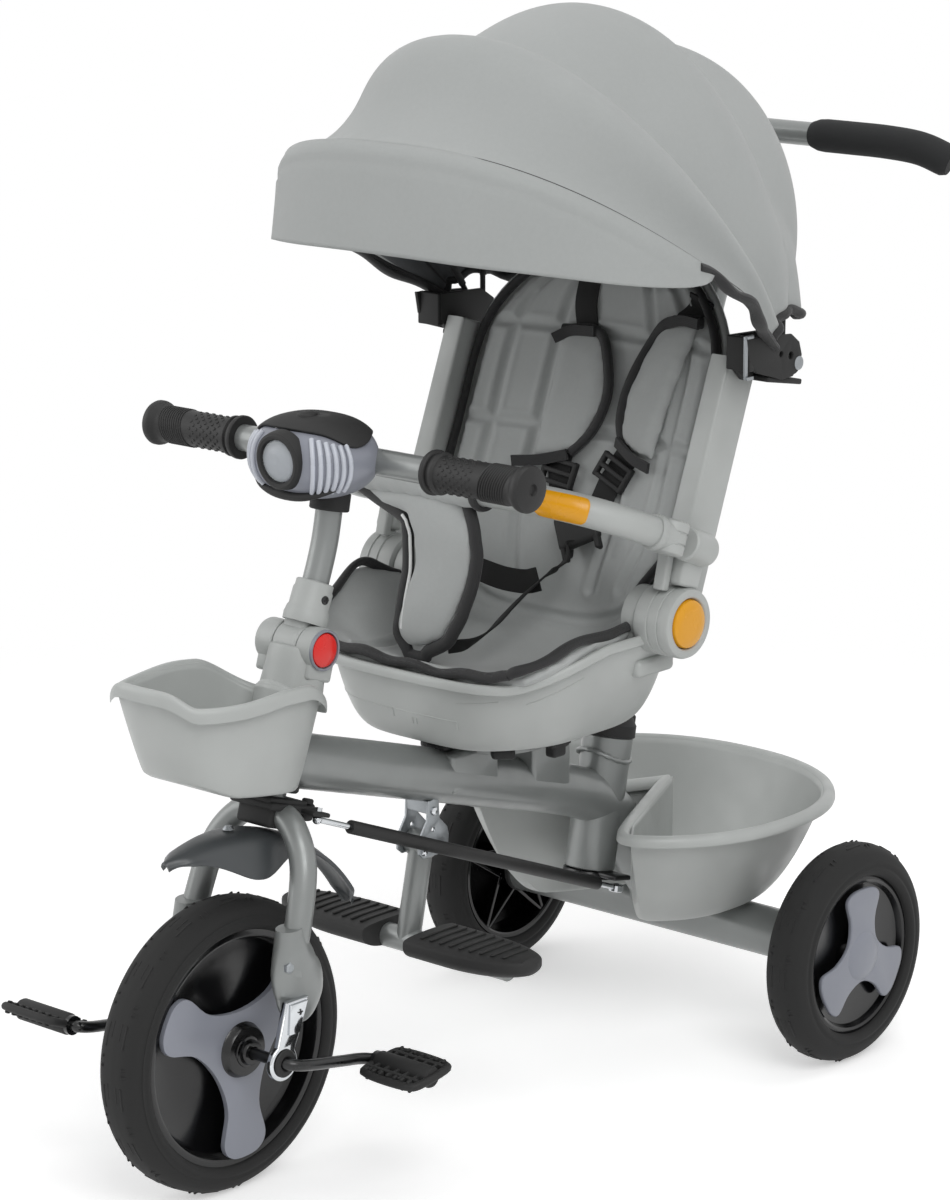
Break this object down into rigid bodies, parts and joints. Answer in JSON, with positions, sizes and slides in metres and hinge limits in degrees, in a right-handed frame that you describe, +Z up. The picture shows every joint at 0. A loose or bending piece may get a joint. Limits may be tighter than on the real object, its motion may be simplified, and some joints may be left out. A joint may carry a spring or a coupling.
{
  "type": "children's tricycle",
  "caption": "Children's tricycle with a swivelling padded seat, folding canopy, parent push handle, guard bar, footrest and front and rear baskets.",
  "frame": {"origin": "middle of the bounding box in plan, on the ground under the wheels", "axes": "+Z up; the child faces -Y; +X is the child's left"},
  "size_m": [0.4676, 0.869, 0.9729],
  "materials": {
    "frame_paint": "satin grey powder coat",
    "grey_plastic": "fine-grained light grey",
    "dark_plastic": "dark grey",
    "black_plastic": "fine-grained black",
    "black_rubber": "matte",
    "tyre_rubber": "matte with shallow tread",
    "cover_plastic": "blue-grey, low gloss",
    "chrome": "polished",
    "zinc": "zinc plated",
    "black_steel": "black paint",
    "grey_fabric": "woven polyester",
    "black_webbing": "ribbed webbing",
    "red_plastic": "smooth",
    "amber_plastic": "smooth",
    "clear_lens": "faceted clear lens"
  },
  "bodies": {
    "frame": {"main_frame": "frame_paint", "pole_collar": "black_plastic", "swivel_plate": "black_plastic", "rear_basket": "grey_plastic", "footrest_bracket": "zinc"},
    "left_rear_wheel": {"left_rear_tyre": "tyre_rubber", "left_rear_rim": "black_plastic", "left_rear_cover": "cover_plastic"},
    "right_rear_wheel": {"right_rear_tyre": "tyre_rubber", "right_rear_rim": "black_plastic", "right_rear_cover": "cover_plastic"},
    "footrest": {"footrest_frame": "frame_paint", "left_foot_pad": "black_plastic", "right_foot_pad": "black_plastic"},
    "steering": {"front_fork": "frame_paint", "left_dropout": "chrome", "right_dropout": "chrome", "mudguard": "dark_plastic", "steering_block": "black_plastic", "front_basket": "grey_plastic", "head_housing": "grey_plastic"},
    "fold_button": {"fold_button": "red_plastic"},
    "front_wheel": {"front_tyre": "tyre_rubber", "front_rim": "black_plastic", "left_spoke_cover": "cover_plastic", "right_spoke_cover": "cover_plastic", "crank": "black_steel"},
    "left_pedal": {"left_pedal": "black_plastic"},
    "right_pedal": {"right_pedal": "black_plastic"},
    "handlebar": {"stem_knuckle": "grey_plastic", "handlebar": "frame_paint", "left_grip": "black_rubber", "right_grip": "black_rubber", "lamp_body": "cover_plastic", "lamp_cover": "black_plastic", "lamp_lens": "clear_lens"},
    "lamp_button": {"lamp_button": "black_plastic"},
    "steering_link": {"link_rod": "chrome", "link_sleeve": "black_rubber"},
    "push_pole": {"push_pole": "black_steel"},
    "push_handle": {"push_handle": "frame_paint", "left_foam_grip": "black_rubber", "right_foam_grip": "black_rubber"},
    "seat": {"seat_pan": "grey_plastic", "seat_pad": "grey_fabric"},
    "backrest": {"backrest_shell": "grey_plastic", "back_pad": "grey_fabric", "harness": "black_webbing", "canopy_frame": "black_plastic", "back_canopy_panel": "grey_fabric"},
    "left_recline_button": {"left_recline_button": "amber_plastic"},
    "right_recline_button": {"right_recline_button": "amber_plastic"},
    "guard_bar": {"guard_bar": "grey_plastic", "crotch_pad": "grey_fabric"},
    "middle_bow": {"middle_canopy_bow": "black_steel", "top_canopy_panel": "grey_fabric"},
    "front_bow": {"front_canopy_bow": "black_steel", "front_canopy_panel": "grey_fabric", "canopy_visor": "grey_fabric"}
  },
  "joints": [
    {"name": "steering_turn", "type": "hinge", "parent": "frame", "child": "steering", "pos_m": [0, -0.3077, 0.127], "axis": [0, 0.2915, 0.9566], "range_deg": [-20, 20]},
    {"name": "push_pole_turn", "type": "hinge", "parent": "frame", "child": "push_pole", "pos_m": [0, 0.1733, 0.167], "axis": [0, 0.2084, 0.978], "range_deg": [-20, 20]},
    {"name": "link_swing", "type": "hinge", "parent": "steering", "child": "steering_link", "pos_m": [0.031, -0.22168, 0.309], "axis": [0, 0.2915, 0.9566], "range_deg": [-22, 22]},
    {"name": "push_handle_slide", "type": "slide", "parent": "push_pole", "child": "push_handle", "axis": [0, 0.3771, 0.9262], "range_m": [-0.12, 0]},
    {"name": "front_wheel_spin", "type": "hinge", "parent": "steering", "child": "front_wheel", "pos_m": [0, -0.3077, 0.127], "axis": [1, 0, 0], "continuous": true},
    {"name": "left_pedal_spin", "type": "hinge", "parent": "front_wheel", "child": "left_pedal", "pos_m": [0.122, -0.2122, 0.107], "axis": [1, 0, 0], "continuous": true},
    {"name": "right_pedal_spin", "type": "hinge", "parent": "front_wheel", "child": "right_pedal", "pos_m": [-0.122, -0.3937, 0.1446], "axis": [1, 0, 0], "continuous": true},
    {"name": "left_rear_wheel_spin", "type": "hinge", "parent": "frame", "child": "left_rear_wheel", "pos_m": [0.208, 0.2903, 0.102], "axis": [1, 0, 0], "continuous": true},
    {"name": "right_rear_wheel_spin", "type": "hinge", "parent": "frame", "child": "right_rear_wheel", "pos_m": [-0.208, 0.2903, 0.102], "axis": [1, 0, 0], "continuous": true},
    {"name": "handlebar_fold", "type": "hinge", "parent": "steering", "child": "handlebar", "pos_m": [-0.002, -0.2082, 0.4525], "axis": [1, 0, 0], "range_deg": [0, 60]},
    {"name": "fold_button_press", "type": "slide", "parent": "steering", "child": "fold_button", "axis": [-1, 0, 0], "range_m": [0, 0.003], "stiffness_N_per_m": 400, "springref_m": -0.002},
    {"name": "lamp_button_press", "type": "slide", "parent": "handlebar", "child": "lamp_button", "axis": [0, 0.0831, -0.9965], "range_m": [0, 0.002], "stiffness_N_per_m": 400, "springref_m": -0.002},
    {"name": "footrest_fold", "type": "hinge", "parent": "frame", "child": "footrest", "pos_m": [0, -0.0577, 0.244], "axis": [1, 0, 0], "range_deg": [0, 45]},
    {"name": "seat_swivel", "type": "hinge", "parent": "frame", "child": "seat", "pos_m": [0, 0.0393, 0.331], "axis": [0, 0, 1], "range_deg": [-60, 60]},
    {"name": "backrest_recline", "type": "hinge", "parent": "seat", "child": "backrest", "pos_m": [0, 0.0873, 0.445], "axis": [1, 0, 0], "range_deg": [-6, 8]},
    {"name": "left_recline_button_press", "type": "slide", "parent": "backrest", "child": "left_recline_button", "axis": [-1, 0, 0], "range_m": [0, 0.003], "stiffness_N_per_m": 400, "springref_m": -0.002},
    {"name": "right_recline_button_press", "type": "slide", "parent": "backrest", "child": "right_recline_button", "axis": [1, 0, 0], "range_m": [0, 0.003], "stiffness_N_per_m": 400, "springref_m": -0.002},
    {"name": "guard_bar_open", "type": "hinge", "parent": "backrest", "child": "guard_bar", "pos_m": [0.18, 0.0623, 0.526], "axis": [0, 0.3818, 0.9243], "range_deg": [0, 25]},
    {"name": "canopy_fold", "type": "hinge", "parent": "backrest", "child": "middle_bow", "pos_m": [0, 0.2223, 0.657], "axis": [-1, 0, 0], "range_deg": [0, 26], "deforming": ["front_canopy_panel", "top_canopy_panel", "back_canopy_panel"]},
    {"name": "front_bow_fold", "type": "hinge", "parent": "backrest", "child": "front_bow", "pos_m": [0, 0.2223, 0.657], "axis": [-1, 0, 0], "range_deg": [0, 42.5]}
  ],
  "couplings": [
    {"joint": "push_pole_turn", "follows": "steering_turn", "ratio": 1},
    {"joint": "link_swing", "follows": "steering_turn", "ratio": -1.078},
    {"joint": "front_bow_fold", "follows": "canopy_fold", "ratio": 1.6346}
  ]
}
